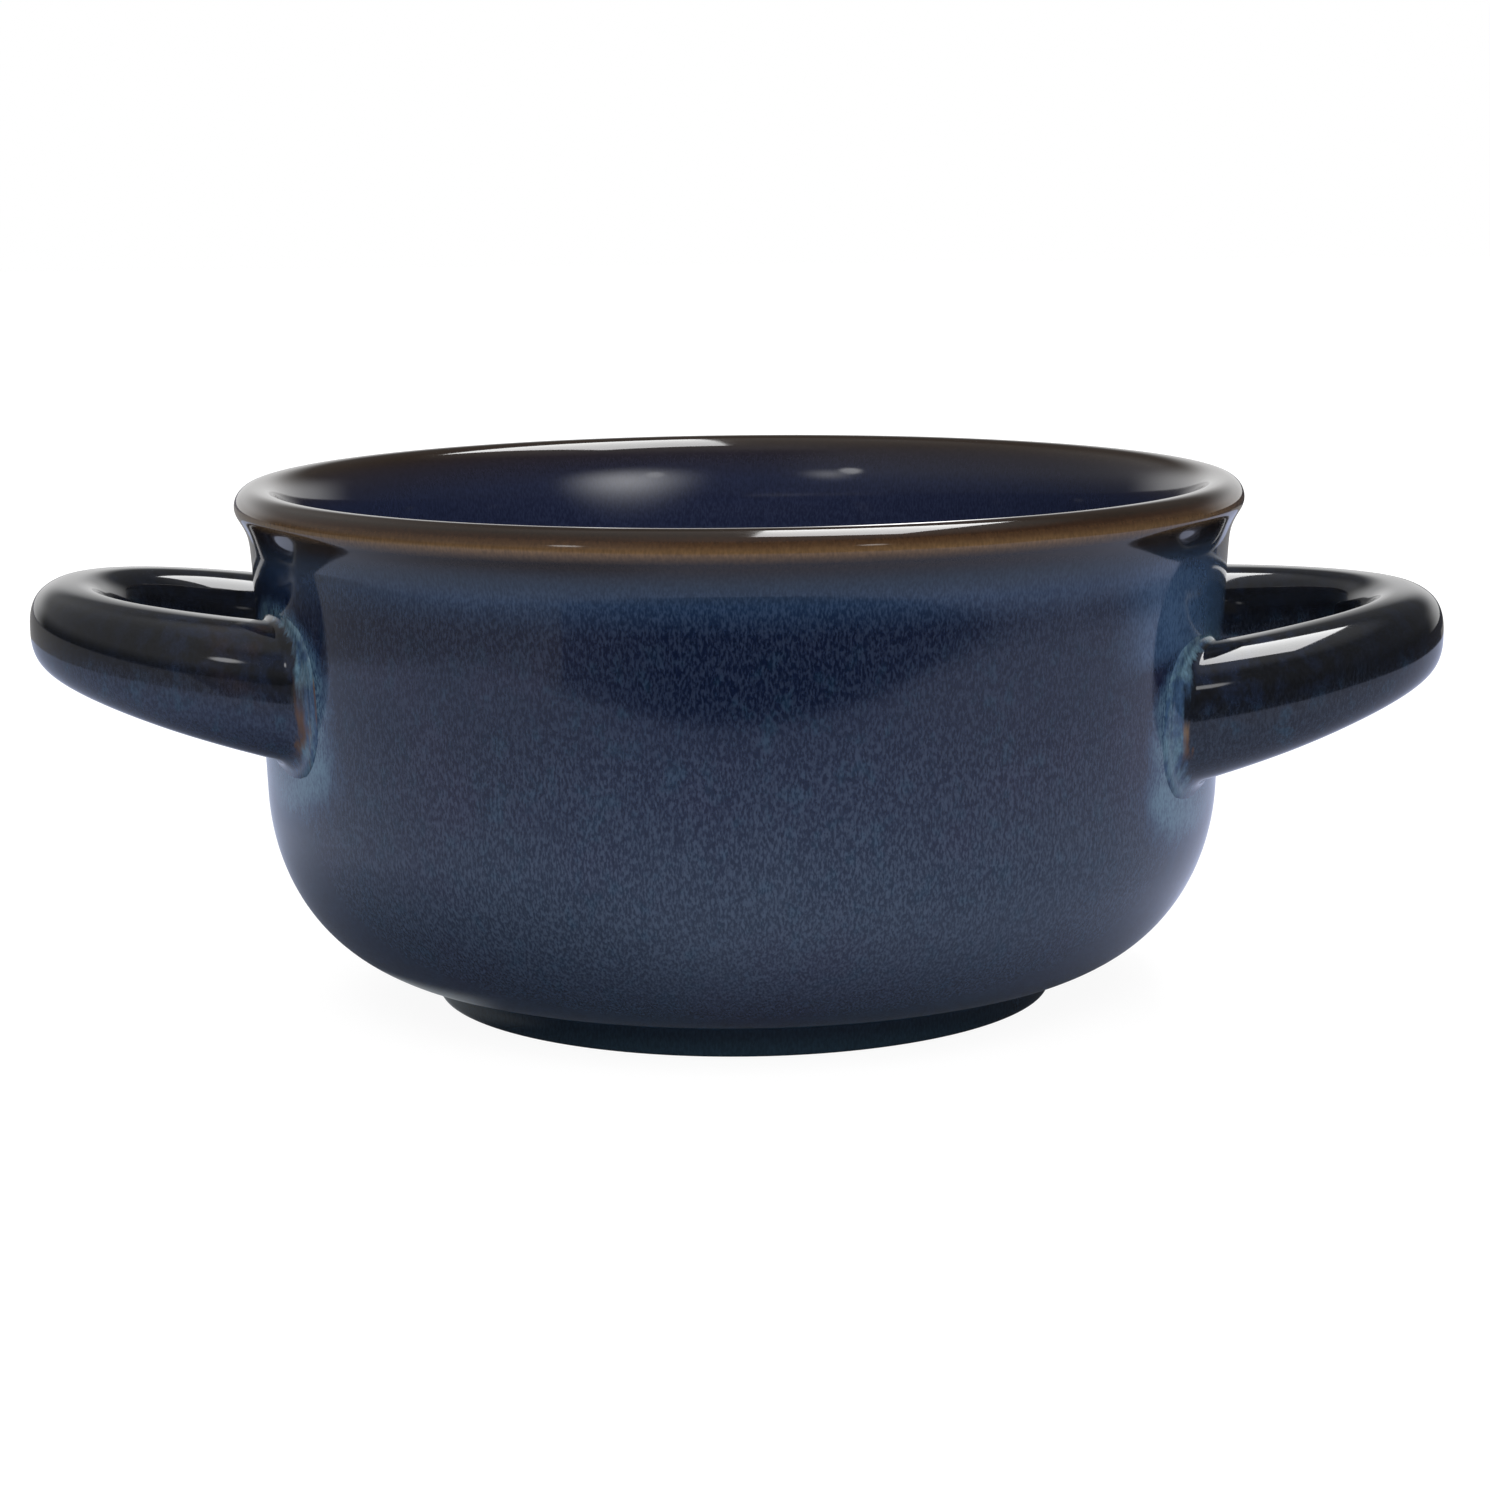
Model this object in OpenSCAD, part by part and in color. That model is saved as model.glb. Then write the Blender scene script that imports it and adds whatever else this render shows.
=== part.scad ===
// French onion soup crock: a jiggered stoneware bowl with two loop handles luted on with clay slip,
// covered by a reactive glaze that leaves the foot ring bare.
// Millimetres, +Z up. The foot stands on z = 0 and the handles lie along X, the left one at -X.

/* [Bowl] */
// Widest diameter, over the glaze on the lip
rim_d = 140; // [125:1:160]
// Height from the table to the crest of the lip, over the glaze
crock_h = 72.2; // [66:0.2:84]
// How far the wall draws in from the neck down to the belly
wall_draw = 1.4; // [0.5:0.1:4]
// Height at which the wall turns into the belly
belly_h = 29.8; // [26:0.2:34]
// Fullness of the belly, where 2 is an ellipse
belly_power = 2.1; // [2:0.05:2.6]
// Clay thickness of the wall
wall_t = 5.2; // [4:0.1:6.5]
// Clay thickness of the floor inside the foot ring
floor_t = 6.2; // [4.5:0.1:8]
// Diameter of the flat part of the floor inside
floor_d = 72; // [50:1:84]

/* [Lip] */
// How far the lip stands out past the neck
lip_overhang = 2; // [1:0.1:4]
// Distance from the crest out to the widest point
lip_reach = 2.4; // [2:0.1:5]
// Height of the crest above the widest point
lip_rise = 2.3; // [1.6:0.1:4]
// Height of the widest point above the neck
lip_drop = 5.6; // [4:0.1:9]
// Depth over which the inner side of the lip runs into the wall
lip_roll = 15; // [11:0.2:18]

/* [Foot] */
// Outer diameter of the foot ring
foot_d = 86.4; // [76:0.2:96]
// Height of the foot ring under the belly
foot_h = 5; // [3.6:0.1:6]
// Width of the foot ring
foot_w = 5.5; // [4:0.1:9]
// Rounding of the edges that meet the table
foot_edge = 0.8; // [0.4:0.1:1.2]
// Rounding where the ring runs into the belly and into the hollow
foot_fillet = 1.2; // [0.6:0.1:1.4]
// Depth of the hollow inside the foot ring
hollow_h = 3.4; // [2.4:0.1:4.2]

/* [Handles] */
// Distance between the middles of a handle's two roots
handle_span = 53; // [42:1:60]
// Distance from the root out to the tip's outer face
handle_reach = 37.2; // [30:0.2:44]
// Squareness of the loop seen from above, where 2 is an ellipse
handle_power = 2.3; // [2:0.1:3]
// Distance from the crest of the lip down to the middle of the roots
root_drop = 27.4; // [25:0.2:32]
// Distance from the crest of the lip down to the middle of the tip
tip_drop = 20.6; // [17:0.2:26]
// Height of the section at the roots
root_h = 18; // [14:0.2:19.6]
// Width of the section at the roots
root_w = 17.6; // [11:0.2:19]
// Height of the section at the tip
tip_h = 11; // [9:0.2:14]
// Width of the section at the tip
tip_w = 10; // [8:0.2:12]
// Squareness of the section, where 2 is an ellipse
section_power = 2.6; // [2:0.1:3.2]

/* [Hand setting] */
// How far above the drawn height the left handle was set
left_lift = 1; // [-1.5:0.1:1.5]
// How much higher the left handle's back root was set than its front root
left_tilt = -1.1; // [-5:0.1:5]
// How far above the drawn height the right handle was set
right_lift = -0.6; // [-1.5:0.1:1.5]
// How much higher the right handle's back root was set than its front root
right_tilt = 3.9; // [-5:0.1:5]
// How far the left handle's tip was lifted above the drawn height
left_tip = 0.4; // [-2:0.1:2]
// How far the right handle's tip was lifted above the drawn height
right_tip = -0.8; // [-2:0.1:2]
// How far the left handle's tip was drawn out past the reach
left_out = 0.1; // [-2:0.1:2]
// How far the right handle's tip was drawn out past the reach
right_out = -0.8; // [-2:0.1:2]

/* [Slip joints] */
// Thickness of the slip between a handle's end and the wall
slip_t = 0.5; // [0.3:0.1:1]
// Radius of the slip bead round a handle's root
bead_r = 1.8; // [1.4:0.1:3.2]
// Thinnest edge of the bead, where it runs out on the handle
bead_edge = 0.2; // [0.1:0.05:0.4]
// Clearance between the faceted slip and the round wall
seat_gap = 0.1; // [0.05:0.01:0.15]

/* [Glaze] */
// Thickness of the fired glaze
glaze_t = 0.4; // [0.2:0.05:0.6]
// Height of the bare clay above the table on the foot ring
bare_h = 1.6; // [1:0.1:2]

/* [Hidden] */
$fn = 128;

clay_colour = "#c9b79c";
slip_colour = "#b7a58b";
blue_glaze = "#2c3b58";
brown_glaze = "#4b3423";
liner_blue = "#1d2338";
dark_glaze = "#22252d";

// Counts that set how finely curves are drawn
curve_steps = 20;
edge_steps = 6;
sides = 24;
strand_steps = 26;
bead_steps = 4;
cap_rings = [1 / 3, 2 / 3];

// Clay sizes of the bowl under its glaze, as radii and heights
rim_r = rim_d / 2 - glaze_t;
crest_z = crock_h - glaze_t;
crest_r = rim_r - lip_reach;
lip_z = crest_z - lip_rise;
neck_r = rim_r - lip_overhang;
neck_z = lip_z - lip_drop;
belly_r = neck_r - wall_draw;
wall_lean = wall_draw / (neck_z - belly_h);
foot_r = foot_d / 2;
hollow_r = foot_r - foot_w;
floor_r = floor_d / 2;
floor_z = hollow_h + floor_t;
lip_in_z = crest_z - lip_roll;

// Curves of the bowl's profile, as [radius, height] points
function mix(a, b, f) = a + (b - a) * f;
function oval(c, size, from, to, steps) =
    [for (i = [0:steps]) let (a = mix(from, to, i / steps)) c + [size[0] * cos(a), size[1] * sin(a)]];
function bezier(a, b, c, d, steps) =
    [for (i = [0:steps]) let (t = i / steps, s = 1 - t)
        s * s * s * a + 3 * s * s * t * b + 3 * s * t * t * c + t * t * t * d];
// Outer radius of the leaning wall at height z
function wall_line(z) = belly_r + (z - belly_h) * wall_lean;
// Belly from a level start at [r0, z0] up to the wall, set in from the wall's line by inset
function belly(r0, z0, inset) =
    [for (i = [0:curve_steps])
        let (t = 90 * i / curve_steps,
             z = belly_h - (belly_h - z0) * pow(cos(t), 2 / belly_power),
             reach = wall_line(z0) - inset - r0)
        [wall_line(z) - inset - reach * (1 - pow(sin(t), 2 / belly_power)), z]];
function backwards(list) = [for (i = [len(list) - 1:-1:0]) list[i]];
function without_first(list) = [for (i = [1:len(list) - 1]) list[i]];

foot_side = concat(
    oval([foot_r - foot_edge, foot_edge], [foot_edge, foot_edge], -90, 0, edge_steps),
    [[foot_r, bare_h]]);
outside = concat(
    [[foot_r, bare_h]],
    oval([foot_r + foot_fillet, foot_h - foot_fillet], [foot_fillet, foot_fillet], 180, 90, edge_steps),
    without_first(belly(foot_r + foot_fillet, foot_h, 0)),
    [[neck_r, neck_z]]);
neck_pull = 0.62 * lip_drop;
lip_pull = 0.24 * lip_drop;
roll_r = wall_line(lip_in_z) - wall_t;
roll_pull = 0.72 * lip_roll;
rim = concat(
    bezier([neck_r, neck_z], [neck_r + wall_lean * neck_pull, neck_z + neck_pull],
        [rim_r, lip_z - lip_pull], [rim_r, lip_z], curve_steps),
    without_first(oval([crest_r, lip_z], [lip_reach, lip_rise], 0, 90, curve_steps)),
    without_first(bezier([crest_r, crest_z], [mix(crest_r, roll_r, 0.83), crest_z],
        [roll_r + wall_lean * roll_pull, lip_in_z + roll_pull], [roll_r, lip_in_z], curve_steps)));
inside = concat(
    [[roll_r, lip_in_z]],
    backwards(belly(floor_r, floor_z, wall_t)),
    [[0, floor_z]]);
hollow = concat(
    [[0, hollow_h]],
    oval([hollow_r - foot_fillet, hollow_h - foot_fillet], [foot_fillet, foot_fillet], 90, 0, edge_steps),
    oval([hollow_r + foot_edge, foot_edge], [foot_edge, foot_edge], 180, 270, edge_steps));

// The glazed clay surface from the glaze line on the foot over the lip to the middle of the floor
glazed = concat(outside, without_first(rim), without_first(inside));
rim_start = len(outside) - 1;
rim_end = rim_start + len(rim) - 1;
// Unit normal of the clay surface at a point of that path
function surface_normal(i) =
    let (d = glazed[min(i + 1, len(glazed) - 1)] - glazed[max(i - 1, 0)]) [d[1], -d[0]] / norm(d);
function coat_point(i) = glazed[i] + glaze_t * surface_normal(i);

// Seat of the handles on the wall
seat_table = [for (p = outside) [p[1], p[0]]];
function seat_x(y, z) = sqrt(pow(lookup(z, seat_table), 2) - y * y);
half_span = handle_span / 2;
handle_a = handle_reach - tip_w / 2;
root_z = crock_h - root_drop;
tip_z = crock_h - tip_drop;
left_set = [left_lift, left_tilt, left_tip, left_out];
right_set = [right_lift, right_tilt, right_tip, right_out];
root_x = seat_x(half_span, root_z);
// Length over which the root's slanted end straightens into the strand
settle_l = root_w;

// A handle's strand: angle a turns from -90 at the front root through 0 at the tip to 90 at the back root
function plan(a) = [handle_a * pow(cos(a), 2 / handle_power),
    sign(a) * half_span * pow(abs(sin(a)), 2 / handle_power)];
function plan_normal(p) =
    let (n = [pow(p[0] / handle_a, handle_power - 1) / handle_a,
              sign(p[1]) * pow(abs(p[1]) / half_span, handle_power - 1) / half_span])
    n / norm(n);
// Angle at which the strand lies d away from the wall
function turn(d) = acos(pow(d / handle_a, handle_power / 2));
// Squared-off cosine and sine that shape the section
function square_off(v) = sign(v) * pow(abs(v), 2 / section_power);
// Hand-set height of a strand at y and a share f of the way to the tip, for [lift, tilt, tip, out]
function height_set(y, f, set) = set[0] + set[1] * (1 - f) * y / handle_span + set[2] * f;
// One ring of the strand at angle a, grown by e all round and shrunk by s towards its middle
function ring(a, e, s, set) =
    let (p = plan(a), n = plan_normal(p), f = p[0] / handle_a,
         w = s * (mix(root_w, tip_w, f) / 2 + e), h = s * (mix(root_h, tip_h, f) / 2 + e),
         z0 = mix(root_z, tip_z, f) + height_set(p[1], f, set), settle = pow(max(0, 1 - p[0] / settle_l), 2))
    [for (i = [0:sides - 1])
        let (q = 360 * i / sides, out = w * square_off(cos(q)),
             y = p[1] + n[1] * out, z = z0 + h * square_off(sin(q)))
        [root_x + p[0] + set[3] * f + n[0] * out + settle * (seat_x(y, z) - root_x), y, z]];
// Middle of a root's end face, d away from the wall
function pole(end, d, set) =
    let (z = root_z + height_set(end * half_span, 0, set)) [seat_x(half_span, z) + d, end * half_span, z];

// Stations along the strand
root_stations = [slip_t, mix(slip_t, bead_r, 0.5), bead_r];
strand_angles = [for (i = [1:strand_steps - 1]) mix(-turn(bead_r), turn(bead_r), i / strand_steps)];
// Slip bead round a root as [distance from the wall, growth], for a concave arc of radius r
function bead(r) = [for (i = [0:bead_steps]) let (t = 90 * i / bead_steps)
    [bead_r - r * cos(t), bead_r - r * sin(t)]];
slip_bead = [for (b = bead(bead_r)) [max(b[0], seat_gap), max(b[1], bead_edge)]];
glaze_bead = bead(bead_r - glaze_t);

// Rings of the bare handle from its front end to its back end
function root_rings(end, set) = [for (d = root_stations) ring(end * turn(d), 0, 1, set)];
function strand_rings(e, set) = [for (a = strand_angles) ring(a, e, 1, set)];
function end_rings(end, set) = [for (s = cap_rings) ring(end * turn(slip_t), 0, s, set)];
function bead_rings(end, steps, set) = [for (b = steps) ring(end * turn(b[0]), b[1], 1, set)];

// Closed skin over a run of rings: capped at a pole on each end, or joined end to end when there are none
module loft(rings, poles) {
    looped = is_undef(poles);
    m = len(rings);
    skin = [for (i = [0:m - (looped ? 1 : 2)], j = [0:sides - 1])
        let (k = (i + 1) % m, l = (j + 1) % sides,
             a = i * sides + j, b = i * sides + l, c = k * sides + l, d = k * sides + j)
        each [[a, c, b], [a, d, c]]];
    caps = looped ? [] : [for (j = [0:sides - 1])
        let (l = (j + 1) % sides, last = (m - 1) * sides)
        each [[m * sides, j, l], [m * sides + 1, last + l, last + j]]];
    polyhedron(concat([for (r = rings) each r], looped ? [] : poles), concat(skin, caps));
}

// Turned layer of glaze over the stretch of clay surface between two path points
module coat(from, to) {
    rotate_extrude()
        polygon(concat([for (i = [from:to]) glazed[i]], [for (i = [to:-1:from]) coat_point(i)]));
}

// Handle before its glaze, with both ends coped to the wall
module bare_handle(set) {
    loft(concat(end_rings(-1, set), root_rings(-1, set), strand_rings(0, set),
            backwards(root_rings(1, set)), backwards(end_rings(1, set))),
        [pole(-1, slip_t, set), pole(1, slip_t, set)]);
}

// Slip that beds one end of a handle on the wall and stands in a bead round it
module slip_joint(end, set) {
    foot = slip_bead[0];
    rings = concat([for (s = cap_rings) ring(end * turn(foot[0]), foot[1], s, set)],
        bead_rings(end, slip_bead, set), backwards(root_rings(end, set)), backwards(end_rings(end, set)));
    ends = [pole(end, seat_gap, set), pole(end, slip_t, set)];
    loft(end < 0 ? rings : backwards(rings), end < 0 ? ends : backwards(ends));
}

// Glaze over a handle and both its beads, from wall to wall
module handle_coat(set) {
    loft(concat(bead_rings(-1, glaze_bead, set), strand_rings(glaze_t, set),
        backwards(bead_rings(1, glaze_bead, set)),
        bead_rings(1, slip_bead, set), [ring(turn(bead_r), 0, 1, set)], backwards(strand_rings(0, set)),
        [ring(-turn(bead_r), 0, 1, set)], backwards(bead_rings(-1, slip_bead, set))));
}

// Window in the wall glaze where a root's slip sits on the clay
module root_window(end, set) {
    edge = ring(end * turn(seat_gap), bead_r + seat_gap, 1, set);
    translate([root_x / 2, 0, 0])
        rotate([90, 0, 90])
            linear_extrude(height = root_x)
                polygon([for (p = edge) [p[1], p[2]]]);
}

module left_side() {
    mirror([1, 0, 0])
        children();
}

// One module for each piece
module bowl() {
    color(clay_colour)
        rotate_extrude()
            polygon(concat(hollow, foot_side, without_first(glazed)));
}
module left_handle() {
    color(clay_colour)
        left_side()
            bare_handle(left_set);
}
module right_handle() {
    color(clay_colour)
        bare_handle(right_set);
}
module left_front_slip() {
    color(slip_colour)
        left_side()
            slip_joint(-1, left_set);
}
module left_back_slip() {
    color(slip_colour)
        left_side()
            slip_joint(1, left_set);
}
module right_front_slip() {
    color(slip_colour)
        slip_joint(-1, right_set);
}
module right_back_slip() {
    color(slip_colour)
        slip_joint(1, right_set);
}
module outer_glaze() {
    color(blue_glaze)
        difference() {
            coat(0, rim_start);
            for (end = [-1, 1]) {
                root_window(end, right_set);
                left_side()
                    root_window(end, left_set);
            }
        }
}
module rim_glaze() {
    color(brown_glaze)
        coat(rim_start, rim_end);
}
module liner_glaze() {
    color(liner_blue)
        coat(rim_end, len(glazed) - 1);
}
module base_glaze() {
    color(blue_glaze)
        translate([0, 0, hollow_h - glaze_t])
            cylinder(r = hollow_r - foot_fillet, h = glaze_t);
}
module left_handle_glaze() {
    color(dark_glaze)
        left_side()
            handle_coat(left_set);
}
module right_handle_glaze() {
    color(dark_glaze)
        handle_coat(right_set);
}

bowl();
left_handle();
right_handle();
left_front_slip();
left_back_slip();
right_front_slip();
right_back_slip();
outer_glaze();
rim_glaze();
liner_glaze();
base_glaze();
left_handle_glaze();
right_handle_glaze();
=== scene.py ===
import math

import bmesh
import bpy
from mathutils import Matrix, Vector, noise


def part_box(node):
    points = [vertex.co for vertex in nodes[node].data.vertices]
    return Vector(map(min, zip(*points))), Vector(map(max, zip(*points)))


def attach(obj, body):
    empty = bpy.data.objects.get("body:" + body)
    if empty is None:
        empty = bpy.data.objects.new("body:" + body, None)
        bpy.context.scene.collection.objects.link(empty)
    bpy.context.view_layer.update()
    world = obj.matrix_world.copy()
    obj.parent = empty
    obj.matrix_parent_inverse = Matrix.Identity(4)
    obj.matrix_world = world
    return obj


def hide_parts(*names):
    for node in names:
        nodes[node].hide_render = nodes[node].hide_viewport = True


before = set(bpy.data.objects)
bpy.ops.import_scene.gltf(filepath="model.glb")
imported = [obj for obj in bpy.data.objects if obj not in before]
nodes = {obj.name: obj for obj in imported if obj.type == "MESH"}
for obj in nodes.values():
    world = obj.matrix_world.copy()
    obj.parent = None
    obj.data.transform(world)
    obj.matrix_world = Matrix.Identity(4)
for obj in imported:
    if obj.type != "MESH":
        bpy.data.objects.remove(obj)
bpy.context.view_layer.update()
mm = 0.001
print("frame loaded with", len(nodes), "nodes")


# one wrapped shader socket, so that masks can be written as sums and products
class Socket:
    def __init__(self, tree, link=None):
        self.tree = tree
        self.link = link

    # any node: its type, the settings that are set first, then its sockets' values or links
    def node(self, kind, settings=None, sockets=None, out=0):
        made = self.tree.nodes.new(kind)
        for key, value in (settings or {}).items():
            if key == "stops":
                ramp = made.color_ramp
                while len(ramp.elements) < len(value):
                    ramp.elements.new(1.0)
                for element, (place, colour) in zip(ramp.elements, value):
                    element.position = place
                    element.color = (*colour, 1.0)
            else:
                setattr(made, key, value)
        for key, value in (sockets or {}).items():
            if isinstance(value, Socket):
                self.tree.links.new(value.link, made.inputs[key])
            else:
                made.inputs[key].default_value = value
        return Socket(self.tree, made.outputs[out] if len(made.outputs) else None)

    def calc(self, operation, *values):
        return self.node("ShaderNodeMath", {"operation": operation}, dict(enumerate(values)))

    def __add__(self, other):
        return self.calc("ADD", self, other)

    def __radd__(self, other):
        return self.calc("ADD", other, self)

    def __sub__(self, other):
        return self.calc("SUBTRACT", self, other)

    def __rsub__(self, other):
        return self.calc("SUBTRACT", other, self)

    def __mul__(self, other):
        return self.calc("MULTIPLY", self, other)

    def __rmul__(self, other):
        return self.calc("MULTIPLY", other, self)

    def __truediv__(self, other):
        return self.calc("DIVIDE", self, other)

    def __rtruediv__(self, other):
        return self.calc("DIVIDE", other, self)

    def __pow__(self, other):
        return self.calc("POWER", self, other)

    def __abs__(self):
        return self.calc("ABSOLUTE", self)

    # 0 at low, 1 at high, smooth between and flat outside
    def rise(self, low, high):
        return self.node("ShaderNodeMapRange", {"interpolation_type": "SMOOTHSTEP"},
                         {"Value": self, "From Min": low, "From Max": high})

    # the reverse of rise: 1 at low, 0 at high
    def fall(self, low, high):
        return 1.0 - self.rise(low, high)

    # this mask lays the second colour over the first
    def lay(self, first, second, kind="MIX"):
        first, second = [(*c, 1.0) if isinstance(c, tuple) else c for c in (first, second)]
        return self.node("ShaderNodeMix", {"data_type": "RGBA", "blend_type": kind},
                         {0: self, 6: first, 7: second}, out=2)

    # noise on a place vector that is stretched by a scale for each axis
    def grain(self, scale, detail, rough):
        place = self.node("ShaderNodeVectorMath", {"operation": "MULTIPLY"}, {0: self, 1: scale})
        return self.node("ShaderNodeTexNoise", {}, {
            "Vector": place, "Scale": 1.0, "Detail": detail, "Roughness": rough})

    # colours at places along this value, smooth between
    def bands(self, stops):
        first, last = stops[0][0], stops[-1][0]
        shares = [((place - first) / (last - first), colour) for place, colour in stops]
        return self.node("ShaderNodeValToRGB", {"stops": shares}, {0: (self - first) / (last - first)})


def newFinish(name, **fixed):
    material = bpy.data.materials.new(name)
    material.use_nodes = True
    tree = material.node_tree
    shader = tree.nodes["Principled BSDF"]
    for key, value in fixed.items():
        shader.inputs[key.replace("_", " ")].default_value = value
    return material, shader, Socket(tree)


def feed(shader, name, source):
    shader.id_data.links.new(source.link, shader.inputs[name])


# the surface of a stage piece, where a mix of shaders takes the plain one's place
def feedSurface(finish, source):
    tree = finish.node_tree
    tree.links.new(source.link, tree.nodes["Material Output"].inputs["Surface"])


# a finished mesh as an object at the origin
def addMesh(name, bm, finish):
    mesh = bpy.data.meshes.new(name)
    bm.to_mesh(mesh)
    bm.free()
    mesh.materials.append(finish)
    piece = bpy.data.objects.new(name, mesh)
    bpy.context.scene.collection.objects.link(piece)
    return piece


# the bowl's profile: the sizes that the frame's boxes don't give
bowlSizes = {
    "glaze": 0.4 * mm, "wall": 5.2 * mm, "footEdge": 0.8 * mm, "bareTurn": 40,
    "footRadius": 43.2 * mm, "footHeight": 5.0 * mm, "footFillet": 1.2 * mm,
    "bellyHeight": 29.8 * mm, "bellyPower": 2.1, "wallDraw": 1.4 * mm,
    "flare": 0.135 * mm, "flarePower": 12,
    "lipReach": 2.4 * mm, "lipRise": 2.3 * mm, "lipRoll": 15.0 * mm, "lipDrop": 5.6 * mm,
    "lipOverhang": 2.0 * mm,
    "neckPull": 0.62, "lipPull": 0.24, "crestPull": 0.83, "rollPull": 0.72,
    "floorFlat": 36.0 * mm, "turnSteps": 192, "shell": 0.34 * mm,
    "waver": 0.04 * mm, "waverScale": 40.0, "waverEnd": 50.0 * mm, "waverFade": 12.0 * mm,
}


def clamp(value):
    return min(1.0, max(0.0, value))


# bends a circle's cosine or sine towards a squarer curve
def squarer(value, power):
    return math.copysign(abs(value) ** (2 / power), value)


def oval(centre, size, start, stop, steps):
    angles = [math.radians(start + (stop - start) * i / steps) for i in range(steps + 1)]
    return [Vector((centre[0] + size[0] * math.cos(a), centre[1] + size[1] * math.sin(a)))
            for a in angles]


def straight(first, last, steps):
    return [first.lerp(last, i / steps) for i in range(steps + 1)]


def sway(a, b, c, d, steps):
    return [a * (1 - t) ** 3 + 3 * b * (1 - t) ** 2 * t + 3 * c * (1 - t) * t * t + d * t ** 3
            for t in [i / steps for i in range(steps + 1)]]


class BowlProfile:
    def __init__(self, s):
        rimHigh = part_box("rim_glaze")[1]
        self.rimRadius = rimHigh.x - s["glaze"]
        self.crest = Vector((self.rimRadius - s["lipReach"], rimHigh.z - s["glaze"]))
        self.lipHeight = self.crest.y - s["lipRise"]
        self.neck = Vector((self.rimRadius - s["lipOverhang"], self.lipHeight - s["lipDrop"]))
        self.bellyRadius = self.neck.x - s["wallDraw"]
        self.lean = s["wallDraw"] / (self.neck.y - s["bellyHeight"])
        self.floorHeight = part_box("liner_glaze")[0].z
        self.sizes = s

    def wallRadius(self, z):
        return self.bellyRadius + (z - self.sizes["bellyHeight"]) * self.lean

    def belly(self, r0, z0, inset, steps):
        s = self.sizes
        reach = self.wallRadius(z0) - inset - r0
        power = 2 / s["bellyPower"]
        points = []
        for i in range(steps + 1):
            t = math.pi / 2 * i / steps
            z = s["bellyHeight"] - (s["bellyHeight"] - z0) * max(0.0, math.cos(t)) ** power
            points.append(Vector((self.wallRadius(z) - inset - reach * (1 - math.sin(t) ** power), z)))
        return points

    # how far the glaze dips inside the straight wall, so that it starts to flare a little below the neck
    def dip(self, z):
        s = self.sizes
        t = max(0.0, (z - s["bellyHeight"]) / (self.neck.y - s["bellyHeight"]))
        return s["flare"] * (t - t ** s["flarePower"])

    def upperWall(self, steps):
        low = self.sizes["bellyHeight"]
        heights = [low + (self.neck.y - low) * i / steps for i in range(steps + 1)]
        return [Vector((self.wallRadius(z) - self.dip(z), z)) for z in heights]

    # clay surface from the glaze line on the foot's edge, over the lip, to the middle of the floor
    def clay(self):
        s = self.sizes
        foot, edge, fillet, drop = [s[k] for k in ("footRadius", "footEdge", "footFillet", "lipDrop")]
        leaning = Vector((self.lean, 1.0))
        flaring = leaning.copy()
        flaring.x += (s["flarePower"] - 1) * s["flare"] / (self.neck.y - s["bellyHeight"])
        lip = Vector((self.rimRadius, self.lipHeight))
        roll = Vector((0.0, self.crest.y - s["lipRoll"]))
        roll.x = self.wallRadius(roll.y) - s["wall"]
        rollStart = Vector((self.crest.x + (roll.x - self.crest.x) * s["crestPull"], self.crest.y))
        floorEdge = Vector((s["floorFlat"], self.floorHeight))
        stretches = [
            ("edge", oval((foot - edge, edge), (edge, edge), -s["bareTurn"], 0, 5)),
            ("foot", straight(Vector((foot, edge)), Vector((foot, s["footHeight"] - fillet)), 3)),
            ("fillet", oval((foot + fillet, s["footHeight"] - fillet), (fillet, fillet), 180, 90, 8)),
            ("belly", self.belly(foot + fillet, s["footHeight"], 0.0, 36)),
            ("wall", self.upperWall(36)),
            ("neck", sway(self.neck, self.neck + flaring * s["neckPull"] * drop,
                          lip - Vector((0.0, s["lipPull"] * drop)), lip, 24)),
            ("lip", oval((self.crest.x, self.lipHeight), (s["lipReach"], s["lipRise"]), 0, 90, 22)),
            ("roll", sway(self.crest, rollStart, roll + leaning * s["rollPull"] * s["lipRoll"], roll, 24)),
            ("inner wall", straight(roll, Vector((self.bellyRadius - s["wall"], s["bellyHeight"])), 10)),
            ("inner belly", self.belly(s["floorFlat"], self.floorHeight, s["wall"], 24)[::-1]),
            ("floor", straight(floorEdge, Vector((0.0, self.floorHeight)), 6)),
        ]
        path, marks = [], {}
        for name, points in stretches:
            path += [p for p in points if not path or (p - path[-1]).length > 1e-7]
            marks[name] = len(path) - 1
        return path, marks

    # the glazed skin, the run length up to each point, and the run at the end of each stretch
    def skin(self):
        path, marks = self.clay()
        glaze, last = self.sizes["glaze"], len(path) - 1
        skin, runs = [], [0.0]
        for i, point in enumerate(path):
            along = (path[min(i + 1, last)] - path[max(i - 1, 0)]).normalized()
            skin.append(point + glaze * Vector((along.y, -along.x)))
        skin[-1].x = 0.0
        for a, b in zip(skin, skin[1:]):
            runs.append(runs[-1] + (b - a).length)
        return skin, runs, {name: runs[i] for name, i in marks.items()}

    # run in mm at which the outside skin has climbed to a height in mm
    def runAt(self, height):
        skin, runs, marks = self.skin()
        climb = [(point.y / mm, run / mm) for point, run in zip(skin, runs) if run <= marks["lip"]]
        height = max(height, climb[0][0])
        for (low, first), (high, last) in zip(climb, climb[1:]):
            if low <= height <= high:
                return first + (last - first) * (height - low) / (high - low)
        return climb[-1][1]


profile = BowlProfile(bowlSizes)


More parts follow.
